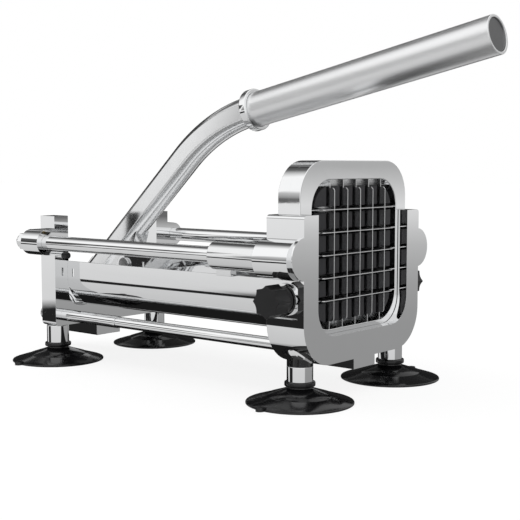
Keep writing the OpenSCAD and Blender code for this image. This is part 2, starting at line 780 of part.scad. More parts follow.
module cartridge_screws() color(dull_steel) place() at_cartridge_corners() {
    bar_x(cart_back, cart_back + cart_screw_head_h, cart_screw_head_r, 0, 0);
    bar_x(cart_back + cart_screw_head_h, cart_front - cart_cover_t - rest_gap, cart_screw_r, 0, 0);
}

// A blade's side view in x and z, its middle bulging forward and its ends tucked in the wall
module blade_outline(end_len) {
    bulge_half = cart_open_w / 2 - end_len;
    translate([blade_back, -blade_half_len])
        square([cart_front - cart_cover_t - rest_gap - blade_back, 2 * blade_half_len]);
    translate([blade_back, -cart_open_w / 2 + pin_gap])
        square([cart_front - blade_back, cart_open_w - 2 * pin_gap]);
    polygon([[blade_back, -bulge_half], [blade_front - blade_corner, -bulge_half],
        [blade_front, blade_corner - bulge_half], [blade_front, bulge_half - blade_corner],
        [blade_front - blade_corner, bulge_half], [blade_back, bulge_half]]);
}

// A blade standing up at y = 0, notched on one side for each blade that crosses it
module blade(end_len, lap_x0, lap_x1) difference() {
    slice(-blade_t / 2, blade_t / 2) blade_outline(end_len);
    for (i = [-blade_mid:blade_mid])
        translate([lap_x0, -blade_t, i * cut_pitch - blade_t / 2 - pin_gap])
            cube([lap_x1 - lap_x0, 2 * blade_t, blade_t + 2 * pin_gap]);
}

module vertical_blades() color(dull_steel) place()
    for (i = [-blade_mid:blade_mid]) translate([0, i * cut_pitch, grid_z])
        blade(upright_end_len, blade_back - cut, blade_lap_x + pin_gap);

module horizontal_blades() color(dull_steel) place()
    for (i = [-blade_mid:blade_mid]) translate([0, 0, grid_z + i * cut_pitch])
        rotate([90, 0, 0]) blade(level_end_len, blade_lap_x - pin_gap, blade_front + cut);

module clamp_knob() difference() {
    union() {
        bar_y(knob_y, knob_y + knob_collar_len, knob_collar_r, clamp_x, clamp_z);
        difference() {
            bar_y(knob_y + knob_collar_len, knob_end_y, knob_r, clamp_x, clamp_z);
            for (i = [0:knob_lobes - 1])
                translate([clamp_x, 0, clamp_z]) rotate([0, (i + 0.5) * 360 / knob_lobes, 0])
                    bar_y(knob_y, knob_end_y + cut, scallop_r, knob_r + scallop_out, 0);
        }
    }
    bar_y(knob_y - cut, knob_end_y - knob_cap_t, clamp_r + pin_gap, clamp_x, clamp_z);
}

module clamp_knob_near() color(plastic) place() mirror([0, 1, 0]) clamp_knob();

module clamp_knob_far() color(plastic) place() clamp_knob();

module clamp_screw() {
    bar_y(pad_back_y + pin_gap, knob_end_y - knob_cap_t - rest_gap, clamp_r, clamp_x, clamp_z);
    bar_y(pad_back_y + pin_gap - clamp_tip_len, pad_back_y + cut, clamp_tip_r, clamp_x, clamp_z);
}

module clamp_screw_near() color(dull_steel) place() mirror([0, 1, 0]) clamp_screw();

module clamp_screw_far() color(dull_steel) place() clamp_screw();

module clamp_pad() difference() {
    bar_y(pad_face_y, pad_back_y, pad_r, clamp_x, clamp_z);
    bar_y(pad_back_y - clamp_tip_len, pad_back_y + cut, clamp_tip_r + pin_gap, clamp_x, clamp_z);
}

module clamp_pad_near() color(dull_steel) place() mirror([0, 1, 0]) clamp_pad();

module clamp_pad_far() color(dull_steel) place() clamp_pad();

// Flat root with the pivot's eye, and the lug that holds the link pin, in the arm's own x and z
module lever_plate() {
    circle(r = eye_r);
    translate([0, -root_half_h]) square([root_len + root_lap, 2 * root_half_h]);
    translate([lug_along, -lug_out]) circle(r = lug_r);
    polygon([[lug_along - lug_foot, -root_half_h], [lug_along + lug_foot, -root_half_h],
        [lug_along + lug_r * cos(lug_side_angle), -lug_out + lug_r * sin(lug_side_angle)],
        [lug_along - lug_r * cos(lug_side_angle), -lug_out + lug_r * sin(lug_side_angle)]]);
    translate([lug_along - lug_foot, -root_half_h]) square([2 * lug_foot, root_half_h]);
}

module lever_arm() color(steel) place() translate([pivot_x, 0, pivot_z])
    rotate([0, -arm_angle, 0]) difference() {
        union() {
            slice(-root_t / 2, root_t / 2) lever_plate();
            bar_x(root_len, arm_len, arm_r, 0, 0);
            translate([arm_len, 0, -bend_r]) {
                rotate([-90, -90, 0]) rotate_extrude(angle = bend_angle)
                    translate([bend_r, 0]) circle(r = arm_r);
                rotate([0, bend_angle, 0]) translate([0, 0, bend_r])
                    bar_x(-cut, spigot_len, spigot_r, 0, 0);
            }
        }
        bar_y(-root_t, root_t, pivot_r + pin_gap, 0, 0);
        bar_y(-root_t, root_t, link_pin_r + pin_gap, lug_along, -lug_out);
    }

// Carries its children to the grip's root, with x along the grip
module at_grip() translate([neck_x, 0, neck_z]) rotate([0, -grip_angle, 0]) children();

module grip_collar() color(steel) place() at_grip() difference() {
    bar_x(pin_gap, collar_len, collar_r, 0, 0);
    bar_x(-cut, collar_len + cut, spigot_r + pin_gap, 0, 0);
    bar_x(collar_plate_t, collar_len + cut, grip_r + pin_gap, 0, 0);
}

module grip_tube() color(satin) place() at_grip() difference() {
    bar_x(collar_plate_t, collar_plate_t + grip_len, grip_r, 0, 0);
    bar_x(collar_plate_t - cut, collar_plate_t + grip_len + cut, grip_r - grip_wall, 0, 0);
}

module grip_end_cap() color(dull_steel) place() at_grip()
    bar_x(collar_plate_t + grip_len - cap_inset - cap_len, collar_plate_t + grip_len - cap_inset,
        spigot_r, 0, 0);

module pivot_pin() color(dull_steel) place() {
    bar_y(-bracket_out, bracket_out + head_t, pivot_r, pivot_x, pivot_z);
    bar_y(-bracket_out - head_t, -bracket_out, pivot_head_r, pivot_x, pivot_z);
}

module pivot_ring() color(dull_steel) place() difference() {
    bar_y(bracket_out, bracket_out + head_t / 2, pivot_head_r, pivot_x, pivot_z);
    bar_y(bracket_out - cut, bracket_out + head_t, pivot_r + pin_gap, pivot_x, pivot_z);
}

module link_strap() translate([link_pin_x, 0, link_pin_z]) rotate([0, -strap_angle, 0])
    difference() {
        slice(strap_in, strap_out) {
            translate([0, -strap_w / 2]) square([strap_len, strap_w]);
            for (x = [0, strap_len]) translate([x, 0]) circle(r = lug_r);
        }
        for (x = [0, strap_len]) bar_y(strap_in - cut, strap_out + cut, link_pin_r + pin_gap, x, 0);
    }

module link_strap_near() color(steel) place() mirror([0, 1, 0]) link_strap();

module link_strap_far() color(steel) place() link_strap();

module link_pin() color(dull_steel) place() {
    bar_y(-strap_out - pin_gap, strap_out + head_t, link_pin_r, link_pin_x, link_pin_z);
    bar_y(-strap_out - head_t, -strap_out - pin_gap, head_r, link_pin_x, link_pin_z);
}

module link_pin_ring() color(dull_steel) place() difference() {
    bar_y(strap_out + pin_gap, strap_out + head_t / 2 + pin_gap, head_r, link_pin_x, link_pin_z);
    bar_y(strap_out - cut, strap_out + head_t, link_pin_r + pin_gap, link_pin_x, link_pin_z);
}

module link_front_pins() color(dull_steel) place() both_sides() {
    bar_y(strap_in, strap_out + cut, link_pin_r, carriage_pin_x, carriage_pin_z);
    bar_y(strap_out, strap_out + head_t, head_r, carriage_pin_x, carriage_pin_z);
}

module foot_posts_front() color(steel) place() both_sides() {
    bar_z(cup_h, frame_z, foot_r, -foot_front_x, foot_front_y);
    bar_z(frame_z - cut, frame_z + foot_stud_len, foot_stud_r, -foot_front_x, foot_front_y);
    bar_z(cup_h - cup_stud_len, cup_h + cut, foot_stud_r, -foot_front_x, foot_front_y);
}

module foot_posts_rear() color(steel) place() both_sides() {
    bar_z(cup_h, cross_z, foot_r, rear_mid, foot_rear_y);
    bar_z(cross_z - cut, cross_z + rear_stud_len, rear_stud_r, rear_mid, foot_rear_y);
    bar_z(cup_h - cup_stud_len, cup_h + cut, foot_stud_r, rear_mid, foot_rear_y);
}

// A suction cup: a ringed neck on a thin flared skirt, hollow below, with a pull tab on its rim
module cup() difference() {
    union() {
        rotate_extrude() polygon(concat(
            [[0, cup_h], [neck_r - cup_neck_bevel, cup_h], [neck_r, cup_h - cup_neck_bevel],
                [neck_r, cup_h - cup_neck_t], [cup_tier_r, cup_h - cup_neck_t],
                [cup_tier_r, cup_h - cup_neck_t - cup_tier_h], [cup_r, cup_lip_t], [cup_r, 0]],
            [for (i = [0:hollow_steps]) [(cup_r - cup_lip_w) * (1 - i / hollow_steps),
                cup_hollow_h * pow(i / hollow_steps, hollow_power)]]));
        rotate(cup_tab_angle) translate([cup_r - cup_lip_w, 0, 0]) {
            tab_len = cup_lip_w + cup_tab_out - cup_tab_w / 2;
            translate([0, -cup_tab_w / 2, 0]) cube([tab_len, cup_tab_w, cup_tab_h]);
            bar_z(0, cup_tab_h, cup_tab_w / 2, tab_len, 0);
        }
    }
    bar_z(cup_h - cup_stud_len - rest_gap, cup_h + cut, foot_stud_r + pin_gap, 0, 0);
}

module cup_front_near() color(rubber) place() mirror([0, 1, 0])
    translate([-foot_front_x, foot_front_y, 0]) cup();

module cup_front_far() color(rubber) place() translate([-foot_front_x, foot_front_y, 0]) cup();

module cup_rear_near() color(rubber) place() mirror([0, 1, 0])
    translate([rear_mid, foot_rear_y, 0]) cup();

module cup_rear_far() color(rubber) place() translate([rear_mid, foot_rear_y, 0]) cup();

front_frame();
rear_frame();
pivot_bracket();
bracket_screws();
trough();
trough_screws();
guide_rod_near();
guide_rod_far();
guide_rod_washers();
guide_rod_nuts();
tie_rod_near();
tie_rod_far();
tie_rod_ferrules();
tie_rod_nuts();
bump_stop_pins();
bump_stop_tips();
carriage();
sleeve_bushes();
pusher_block();
pusher_studs();
pusher_nuts();
carriage_pin();
cartridge_front();
cartridge_rear();
vertical_blades();
horizontal_blades();
cartridge_screws();
clamp_knob_near();
clamp_knob_far();
clamp_screw_near();
clamp_screw_far();
clamp_pad_near();
clamp_pad_far();
lever_arm();
grip_collar();
grip_tube();
grip_end_cap();
pivot_pin();
pivot_ring();
link_strap_near();
link_strap_far();
link_pin();
link_pin_ring();
link_front_pins();
foot_posts_front();
foot_posts_rear();
cup_front_near();
cup_front_far();
cup_rear_near();
cup_rear_far();
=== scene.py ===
# French fry cutter with a lever: the finish and the fine shape of every piece, in metres.
import json
import math

import bmesh
import bpy
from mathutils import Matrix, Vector

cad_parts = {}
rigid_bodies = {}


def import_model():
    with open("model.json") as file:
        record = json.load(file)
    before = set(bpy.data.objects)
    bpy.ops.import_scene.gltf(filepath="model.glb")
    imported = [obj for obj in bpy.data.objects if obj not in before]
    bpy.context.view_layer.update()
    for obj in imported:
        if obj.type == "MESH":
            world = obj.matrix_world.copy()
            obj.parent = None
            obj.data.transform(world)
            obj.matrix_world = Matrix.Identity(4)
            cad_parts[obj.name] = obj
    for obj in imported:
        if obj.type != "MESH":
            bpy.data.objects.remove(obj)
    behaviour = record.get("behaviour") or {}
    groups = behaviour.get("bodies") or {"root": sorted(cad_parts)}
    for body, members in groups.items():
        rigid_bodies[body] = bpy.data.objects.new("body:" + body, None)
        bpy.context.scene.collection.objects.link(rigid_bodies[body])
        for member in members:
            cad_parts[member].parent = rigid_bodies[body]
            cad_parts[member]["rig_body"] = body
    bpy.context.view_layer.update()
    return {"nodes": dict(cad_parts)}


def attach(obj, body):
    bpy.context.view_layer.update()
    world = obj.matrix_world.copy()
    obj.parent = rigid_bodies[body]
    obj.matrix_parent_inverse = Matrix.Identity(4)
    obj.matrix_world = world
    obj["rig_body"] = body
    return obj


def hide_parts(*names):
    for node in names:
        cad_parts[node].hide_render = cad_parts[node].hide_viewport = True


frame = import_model()
scene = bpy.context.scene
MM = 0.001


# The view: a long lens in front of the machine on its near side, a little above the blades, so
# that the front frame is seen at forty degrees and both rods and the trough run off behind it.
VIEW_AZIMUTH = math.radians(39.923)
VIEW_ELEVATION = math.radians(5.076)
VIEW_PLACE = Vector((439.852, -505.1, 131.254)) * MM
VIEW_LENS = 73.353

camera = bpy.data.objects.new("camera", bpy.data.cameras.new("camera"))
camera.location = VIEW_PLACE
camera.rotation_euler = (math.pi / 2 - VIEW_ELEVATION, 0, VIEW_AZIMUTH)
camera.data.sensor_width = 36
camera.data.lens = VIEW_LENS
camera.data.clip_start = 0.01
scene.collection.objects.link(camera)
scene.camera = camera
scene.view_settings.view_transform = "Standard"


# The white room: a plain bright studio. Matt surfaces get one even level from all round and a
# weak lamp from the upper left. Polished metal mirrors the studio's own walls: a grey one in
# front, dark flats behind and beside the machine, and bright ones overhead.
class Ink:
    """A socket of a node tree. Sums and products of it add Math nodes, make() adds any other."""

    def __init__(self, tree, socket=None):
        self.tree = tree
        self.socket = socket

    def make(self, kind, ins=None, out=0, **settings):
        """A node of that kind: its settings first, then its sockets' values or links."""
        node = self.tree.nodes.new(kind)
        for name, value in settings.items():
            setattr(node, name, value)
        for name, value in (ins or {}).items():
            if isinstance(value, Ink):
                self.tree.links.new(value.socket, node.inputs[name])
            else:
                node.inputs[name].default_value = value
        return Ink(self.tree, node.outputs[out] if node.outputs else None)

    def maths(self, operation, *others, clamp=False):
        """A Math node on this value and the others."""
        return self.make("ShaderNodeMath", dict(enumerate((self, *others))), operation=operation,
                         use_clamp=clamp)

    def __add__(self, other):
        return self.maths("ADD", other)

    def __sub__(self, other):
        return self.maths("SUBTRACT", other)

    def __mul__(self, other):
        return self.maths("MULTIPLY", other)

    def part(self, index):
        """This vector's x, y or z."""
        return self.make("ShaderNodeSeparateXYZ", {0: self}, out=index)

    def scaled(self, factors):
        """This vector, each part multiplied by its own factor."""
        return self.make("ShaderNodeVectorMath", {0: self, 1: factors}, operation="MULTIPLY")

    def between(self, low, high, soft):
        """1 where this value lies between low and high, fading to 0 over the width soft."""
        rise = (self - low).maths("MULTIPLY", 1 / soft, clamp=True)
        fall = (self - high).maths("MULTIPLY", -1 / soft, clamp=True)
        return rise * fall

    def shades(self, low, high, *stops):
        """A grey for each value between low and high, straight lines between the stops."""
        spread = self.make("ShaderNodeValToRGB", {"Fac": (self - low) * (1 / (high - low))})
        ramp = spread.socket.node.color_ramp
        while len(ramp.elements) < len(stops):
            ramp.elements.new(1)
        for element, (value, grey) in zip(ramp.elements, stops):
            element.position = (value - low) / (high - low)
            element.color = (grey, grey, grey, 1)
        return spread

    def mix(self, low, high):
        """The colour low where this value is 0 and high where it is 1."""
        return self.make("ShaderNodeMix", {0: self, 6: low, 7: high}, out=2, data_type="RGBA")


def studio_walls(ink):
    """What polished metal mirrors, by its direction: height and bearing in degrees, +X is 0.

    Each wall or flat lies over the ones before it. Its stops are pairs of a height or a bearing
    and the grey there, where 1 is white."""
    way = ink.make("ShaderNodeTexCoord", out="Generated")
    height = way.part(2).maths("ARCSINE") * math.degrees(1)
    bearing = way.part(1).maths("ARCTAN2", way.part(0)) * math.degrees(1)
    around = bearing.maths("WRAP", 360, 0)

    floor_to_ceiling = ((-90, 0.3), (-50, 0.3), (-46, 0.66), (-11, 0.74), (-6, 0.8), (0, 0.98),
                        (15, 1.12), (90, 1.12))
    grey_front = ((-90, 0.3), (-12, 0.33), (-8, 0.35), (-6, 0.41), (-4, 0.56), (-2.2, 0.84),
                  (-1, 0.64), (0, 0.49), (12, 0.45), (25, 0.8), (40, 1))
    side_banner = ((-2, 0.13), (1, 0.3), (5, 0.42), (12, 0.6), (18, 1.1))
    back_curtain = ((151, 0.04), (174, 0.16), (205, 1.1))
    in_front = bearing.between(-10, 110, 3)
    on_near_side = bearing.between(-131.8, -100, 1) * height.between(-1.95, 24, 0.05)
    high_behind = around.between(149, 207, 2) * height.between(26, 62, 4)
    walls = height.shades(-90, 90, *floor_to_ceiling)
    walls = in_front.mix(walls, height.shades(-90, 90, *grey_front))
    walls = on_near_side.mix(walls, height.shades(-90, 90, *side_banner))
    walls = high_behind.mix(walls, around.shades(140, 220, *back_curtain))

    # Each flat: its bearings, its heights, how soft its edges are, its grey
    flats = {
        "high on the far side": (100, 150, 24, 52, 2, 0.09),
        "far side": (100, 168, -28, 26, 2, 0.03),
        "behind, at eye level": (164, 221, -2, 12.5, 1.2, 0.04),
        "behind, above that": (160, 204, 11, 29, 3, 0.06),
        "behind on the near side, low": (208, 242, -13.6, -7.1, 0.5, 0.02),
        "behind on the near side, higher": (186, 227, 5, 20, 2, 0.1),
        "slit in the grey front": (18, 48, -3.5, 4, 0.8, 0.16),
        "floor in front": (285, 345, -60, -33, 2, 0.03),
    }
    for left, right, low, high, soft, grey in flats.values():
        flat = around.between(left, right, soft) * height.between(low, high, soft)
        walls = flat.mix(walls, (grey, grey, grey, 1))
    return walls


def light_room():
    """Even white light, but the studio's walls for what is mirrored."""
    world = bpy.data.worlds.new("room")
    world.use_nodes = True
    world.node_tree.nodes.clear()
    ink = Ink(world.node_tree)
    mirrored = ink.make("ShaderNodeLightPath", out="Is Glossy Ray")
    tone = mirrored.mix((1, 1, 1, 1), studio_walls(ink))
    back = ink.make("ShaderNodeBackground", {"Color": tone, "Strength": 1.0})
    ink.make("ShaderNodeOutputWorld", {"Surface": back})
    scene.world = world


light_room()

lamp = bpy.data.objects.new("lamp_upper_left", bpy.data.lights.new("lamp_upper_left", "AREA"))
lamp.data.size = 1.5
lamp.data.energy = 9
lamp.location = (-1.2, -0.9, 1.6)
machine_middle = Vector((0, 0, 0.05))
lamp.rotation_euler = (machine_middle - lamp.location).to_track_quat("-Z", "Y").to_euler()
lamp.visible_glossy = False
scene.collection.objects.link(lamp)


def stage_card(name, corners, height, glow, share):
    """A flat card lying level. glow is how bright it shines by itself, over that share of it."""
    mesh = bpy.data.meshes.new(name)
    (x0, y0), (x1, y1) = corners
    mesh.from_pydata([(x0, y0, height), (x1, y0, height), (x1, y1, height), (x0, y1, height)],
                     [], [(0, 1, 2, 3)])
    card = bpy.data.objects.new(name, mesh)
    material = bpy.data.materials.new(name)
    material.use_nodes = True
    material.node_tree.nodes.clear()
    ink = Ink(material.node_tree)
    white = (0.95, 0.95, 0.95, 1)
    matt = ink.make("ShaderNodeBsdfDiffuse", {"Color": white})
    shine = ink.make("ShaderNodeEmission", {"Color": (glow, glow, glow, 1)})
    both = ink.make("ShaderNodeMixShader", {0: share, 1: matt, 2: shine})
    ink.make("ShaderNodeOutputMaterial", {"Surface": both})
    mesh.materials.append(material)
    scene.collection.objects.link(card)
    return card


# The table isn't mirrored, as the walls' lower half stands in for it. Under the near side of the
# machine lies a near-black strip that is only seen where the metal mirrors it: painted shade,
# standing for the machine's shadow on the floor next to and under it in the reflections.
table_top = stage_card("table_top", ((-6, -6), (6, 6)), height=0, glow=1.02, share=0.82)
table_top.visible_glossy = False
painted_shade_strip = stage_card("flag_dark_strip", ((-0.3, -0.064), (0.1, 0.01)), height=0.0002,
                        glow=0.012, share=1.0)
for ray in ("camera", "diffuse", "shadow", "transmission"):
    setattr(painted_shade_strip, "visible_" + ray, False)


# The front frame: a U of cast metal, ground flat, polished and chromed. Its lip, with a broad
# chamfer round the opening, holds the blade cartridge in its slot. The ears carry the guide rods.
SHIFT_X = 96.244  # mm from the scene's middle forward to the front face
CREASE = math.radians(32)
SAME_PLACE = 0.002  # mm
SAME_PLANE = math.radians(0.3)


def dressed(name, paint, width, rule=None, steps=2):
    """A CAD node's shape with its edges broken by that many mm, which then stands for it.

    rule(x, y, z) gives the width at a place in mm, with x counted from the front face."""
    node = frame["nodes"][name]
    mesh = node.data.copy()
    piece = bpy.data.objects.new(name + "_finish", mesh)
    scene.collection.objects.link(piece)
    break_edges(piece, width, rule, steps)
    mesh.materials.clear()
    mesh.materials.append(paint)
    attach(piece, node["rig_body"])
    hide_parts(name)
    return piece


def break_edges(piece, width, rule, steps):
    """Flat faces in one piece each, the edges between them eased, and the shading to match."""
    work = bmesh.new()
    work.from_mesh(piece.data)
    bmesh.ops.remove_doubles(work, verts=work.verts, dist=SAME_PLACE * MM)
    bmesh.ops.dissolve_limit(work, angle_limit=SAME_PLANE, verts=work.verts, edges=work.edges)
    if rule:
        weight = work.edges.layers.float.new("bevel_weight_edge")
        for edge in work.edges:
            if edge.calc_face_angle(0) > CREASE:
                middle = (edge.verts[0].co + edge.verts[1].co) / (2 * MM)
                edge[weight] = rule(middle.x - SHIFT_X, middle.y, middle.z) / width
    work.to_mesh(piece.data)
    work.free()
    if "custom_normal" in piece.data.attributes:
        piece.data.attributes.remove(piece.data.attributes["custom_normal"])
    piece.data.shade_smooth()
    edges = piece.modifiers.new("edges", "BEVEL")
    edges.width = width * MM
    edges.segments = steps
    edges.limit_method = "WEIGHT" if rule else "ANGLE"
    edges.angle_limit = CREASE
    normals = piece.modifiers.new("normals", "WEIGHTED_NORMAL")
    normals.mode = "FACE_AREA"
    normals.weight = 90


def new_paint(name, **constants):
    """A material, its ink and its shader node, with the sockets that are the same all over."""
    material = bpy.data.materials.new(name)
    material.use_nodes = True
    shader = material.node_tree.nodes["Principled BSDF"]
    for socket, value in constants.items():
        shader.inputs[socket.replace("_", " ")].default_value = value
    return material, Ink(material.node_tree), shader


def metal(name, shade, rough, grain, depth, cloud=0.04):
    """Metal with its polishing marks: grain counts them per metre along x, y and z, depth is
    their depth in mm, rough the least and greatest roughness, cloud how far the tone varies."""
    material, ink, shader = new_paint(name, Metallic=1.0)
    place = ink.make("ShaderNodeTexCoord", out="Object")
    marks = ink.make("ShaderNodeTexNoise", {"Vector": place.scaled(grain), "Scale": 1.0,
                                            "Detail": 3.0, "Roughness": 0.55})
    haze = ink.make("ShaderNodeTexNoise", {"Vector": place, "Scale": 34.0, "Detail": 2.0})
    low, high = rough
    ink.tree.links.new((haze * 0.5 + marks * 0.5).mix(
        tuple(c * (1 - cloud) for c in shade) + (1,), tuple(shade) + (1,)).socket,
        shader.inputs["Base Color"])
    ink.tree.links.new((haze * marks * (2 * (high - low)) + low).socket,
                       shader.inputs["Roughness"])
    bump = ink.make("ShaderNodeBump", {"Height": marks, "Strength": 1.0, "Distance": depth * MM})
    ink.tree.links.new(bump.socket, shader.inputs["Normal"])
    return material


CHROME = (0.83, 0.835, 0.84)
cast_chrome = metal("cast_chrome", CHROME, rough=(0.006, 0.03), grain=(160, 160, 160),
                    depth=0.0012)

GRID_HEIGHT, FRAME_BOTTOM = 81.5, 21
OPENING_SIDE, OPENING_BOTTOM, CORNER_TOP = 44.8, 36.7, 52.7
CHAMFER_REACH = 56  # mm from the grid's middle, just short of the corners' middles


def front_frame_edges(x, y, z):
    """Broad on the lip's opening but in its corners, sharp where the foot bosses meet the base."""
    at_foot = -20 < x < -4 and 37 < abs(y) < 54
    if abs(z - FRAME_BOTTOM) < 0.2 and at_foot:
        return 0
    beside = abs(abs(y) - OPENING_SIDE) < 0.4
    below = abs(y) < OPENING_SIDE + 0.4 and OPENING_BOTTOM - 0.2 < z < CORNER_TOP + 0.3
    near_grid = math.hypot(y, z - GRID_HEIGHT) < CHAMFER_REACH
    return 1.7 if x > -0.1 and (beside or below) and near_grid else 0.9


dressed("front_frame", cast_chrome, 1.7, rule=front_frame_edges)


# The rear frame: two posts on a cross member, sawn and milled from flat bar and chromed. Its
# bosses take the guide rods' rear ends, and its front corners are eased.
REAR_FRAME_FRONT, POST_OUTSIDE = -212.9, 53.1


def rear_frame_edges(x, y, z):
    """A wide eased edge on each post's outer front corner, small ones elsewhere."""
    return 1.0 if x > REAR_FRAME_FRONT - 0.3 and abs(y) > POST_OUTSIDE - 0.3 else 0.5


dressed("rear_frame", cast_chrome, 1.0, rule=rear_frame_edges)


# The pivot bracket: a milled block with two ears behind the rear frame, which hold the lever's
# pivot pin between them. Two zinc-plated screws, their round heads sunk in its underside, hold
# it up against the cross member.
zinc = metal("zinc_plate", (0.55, 0.555, 0.56), rough=(0.22, 0.36), grain=(320, 320, 320),
             depth=0.006, cloud=0.12)

dressed("pivot_bracket", cast_chrome, 0.8)
dressed("bracket_screws", zinc, 0.35)


# The trough: one sheet of stainless steel bent to a U, polished along its length. It is seated
# in the front frame's back, and its tongue is screwed down on the rear cross member.
long_polish = metal("long_polish", (0.815, 0.82, 0.825), rough=(0.02, 0.055),
                    grain=(9, 420, 420), depth=0.001, cloud=0.05)

dressed("trough", long_polish, 0.18, steps=1)
dressed("trough_screws", zinc, 0.35)


# The guide rods: ground and chromed bars that carry the carriage's sleeves. Their threaded rear
# ends pass through the posts' bosses, and a washer and a domed nut draw each one tight.
ground_rod = metal("ground_rod", CHROME, rough=(0.006, 0.025), grain=(520, 14, 14),
                   depth=0.0006, cloud=0.03)

NUT_END = -239.8


def nut_edges(x, y, z):
    """A dome on the nut's closed end, eased flats elsewhere."""
    return 1.9 if x < NUT_END + 0.3 else 0.5


for side in ("near", "far"):
    dressed("guide_rod_" + side, ground_rod, 0.4)
dressed("guide_rod_washers", zinc, 0.25)
dressed("guide_rod_nuts", ground_rod, 1.9, rule=nut_edges, steps=4)


# The tie rods: thinner chromed bars low down that hold the two frames apart. Each has a ferrule
# over its rear end and a round nut behind the rear frame.
for side in ("near", "far"):
    dressed("tie_rod_" + side, ground_rod, 0.3)
dressed("tie_rod_ferrules", ground_rod, 0.15)
dressed("tie_rod_nuts", zinc, 1.2, steps=3)


# The bump stops: a turned steel pin pressed into the front of each post, with a black rubber tip
# pushed over it. The carriage comes back against them.
def moulded(name, shade, rough, grain, depth, sheen=0.5, pattern=None):
    """Plastic or rubber as it leaves the mould: grain counts its pits per metre, depth is
    their depth in mm, rough the least and greatest roughness, sheen its specular level.

    pattern(place) adds marks of the mould's own to the pits."""
    material, ink, shader = new_paint(name, Specular_IOR_Level=sheen)
    place = ink.make("ShaderNodeTexCoord", out="Object")
    pits = ink.make("ShaderNodeTexNoise", {"Vector": place, "Scale": grain, "Detail": 2.0})
    haze = ink.make("ShaderNodeTexNoise", {"Vector": place, "Scale": 60.0, "Detail": 2.0})
    low, high = rough
    ink.tree.links.new(haze.mix(tuple(c * 0.75 for c in shade) + (1,),
                                tuple(c * 1.25 for c in shade) + (1,)).socket,
                       shader.inputs["Base Color"])
    ink.tree.links.new((haze * (high - low) + low).socket, shader.inputs["Roughness"])
    surface = pattern(place) * 0.6 + pits * 0.4 if pattern else pits
    bump = ink.make("ShaderNodeBump", {"Height": surface, "Strength": 1.0,
                                       "Distance": depth * MM})
    ink.tree.links.new(bump.socket, shader.inputs["Normal"])
    return material


soft_rubber = moulded("soft_rubber", (0.013, 0.013, 0.014), rough=(0.45, 0.6), grain=900,
                      depth=0.01, sheen=0.3)

dressed("bump_stop_pins", ground_rod, 0.2)
dressed("bump_stop_tips", soft_rubber, 0.6)


# The carriage: one casting of two sleeves, a plate with a cross rib and a tongue, ground and
# polished all over. Turned brass bushes in the sleeves run on the guide rods.
cast_skin = metal("cast_skin", (0.78, 0.785, 0.79), rough=(0.03, 0.07), grain=(240, 240, 240),
                  depth=0.002, cloud=0.06)
brass = metal("turned_brass", (0.72, 0.58, 0.32), rough=(0.16, 0.28), grain=(700, 20, 20),
              depth=0.004, cloud=0.1)

dressed("carriage", cast_skin, 0.5)
dressed("sleeve_bushes", brass, 0.15)
dressed("carriage_pin", zinc, 0.4)


# The pusher block: black nylon, moulded with a square of fingers that pass between the blades.
# Two steel studs set in its back, with hexagon nuts, hold it to the carriage.
nylon = moulded("black_nylon", (0.024, 0.024, 0.026), rough=(0.4, 0.52), grain=1400,
                depth=0.008, sheen=0.25)

dressed("pusher_block", nylon, 0.45)
dressed("pusher_studs", zinc, 0.3)
dressed("pusher_nuts", zinc, 0.5)


# The blade cartridge: a square ring in two cast and chromed halves that clip the blades' ends.
# Four small screws from behind hold the halves together, and the ring drops into the frame.
RING_FRONT, RING_SPLIT = -6.7, -14.35


def ring_edges(x, y, z):
    """Eased at the front, close to sharp where the two halves meet."""
    if abs(x - RING_SPLIT) < 0.1:
        return 0.04
    return 0.9 if x > RING_FRONT - 0.1 else 0.4


dressed("cartridge_front", cast_chrome, 0.9, rule=ring_edges)
dressed("cartridge_rear", cast_chrome, 0.4, rule=ring_edges)
dressed("cartridge_screws", zinc, 0.25)


# The blades: ten strips of stainless spring steel, ground along their length, with half-lap
# notches where they cross. Only their front edges are sharpened.
blade_grind = metal("blade_grind", (0.8, 0.805, 0.81), rough=(0.14, 0.26),
                    grain=(60, 260, 260), depth=0.002, cloud=0.08)

dressed("vertical_blades", blade_grind, 0.12, steps=1)
dressed("horizontal_blades", blade_grind, 0.12, steps=1)


# The clamp knobs: black plastic with eight lobes, moulded over the clamp screw. The screw passes
# through the cheek and bears on a small pad that grips the cartridge's side.
KNOB_END = 72.7


def knob_edges(x, y, z):
    """Well rounded at the outer end, eased on the lobes."""
    return 1.0 if abs(y) > KNOB_END - 0.7 else 0.5


knob_plastic = moulded("knob_plastic", (0.0125, 0.0125, 0.013), rough=(0.36, 0.5), grain=1100,
                       depth=0.008, sheen=0.22)

for side in ("near", "far"):
    dressed("clamp_knob_" + side, knob_plastic, 1.0, rule=knob_edges, steps=3)
    dressed("clamp_screw_" + side, zinc, 0.3)
    dressed("clamp_pad_" + side, zinc, 0.2)


# The lever: a round bar with pressed flat flanks, bent, chromed, and forged thin at its root for
# the pivot's eye, with a lug for the links. It stands half down, its grip out over the blades.
PIVOT_X, PIVOT_Z = -165.656, 26.2
LEAN, BEND = math.radians(42.5), math.radians(31)
BAR_START, BAR_LENGTH, BEND_RADIUS, BAR_RADIUS = 41.9, 163.3, 118, 9.5
FLANK = 8.3  # mm from the middle plane
ON_BAR = 0.15  # mm
ROUND_STEPS, BEND_STEPS = 18, 30


def on_lever(run, rise, y):
    """A place given by mm along the straight bar and square to it, in the scene."""
    return (MM * (PIVOT_X + run * math.cos(LEAN) - rise * math.sin(LEAN)), MM * y,
            MM * (PIVOT_Z + run * math.sin(LEAN) + rise * math.cos(LEAN)))


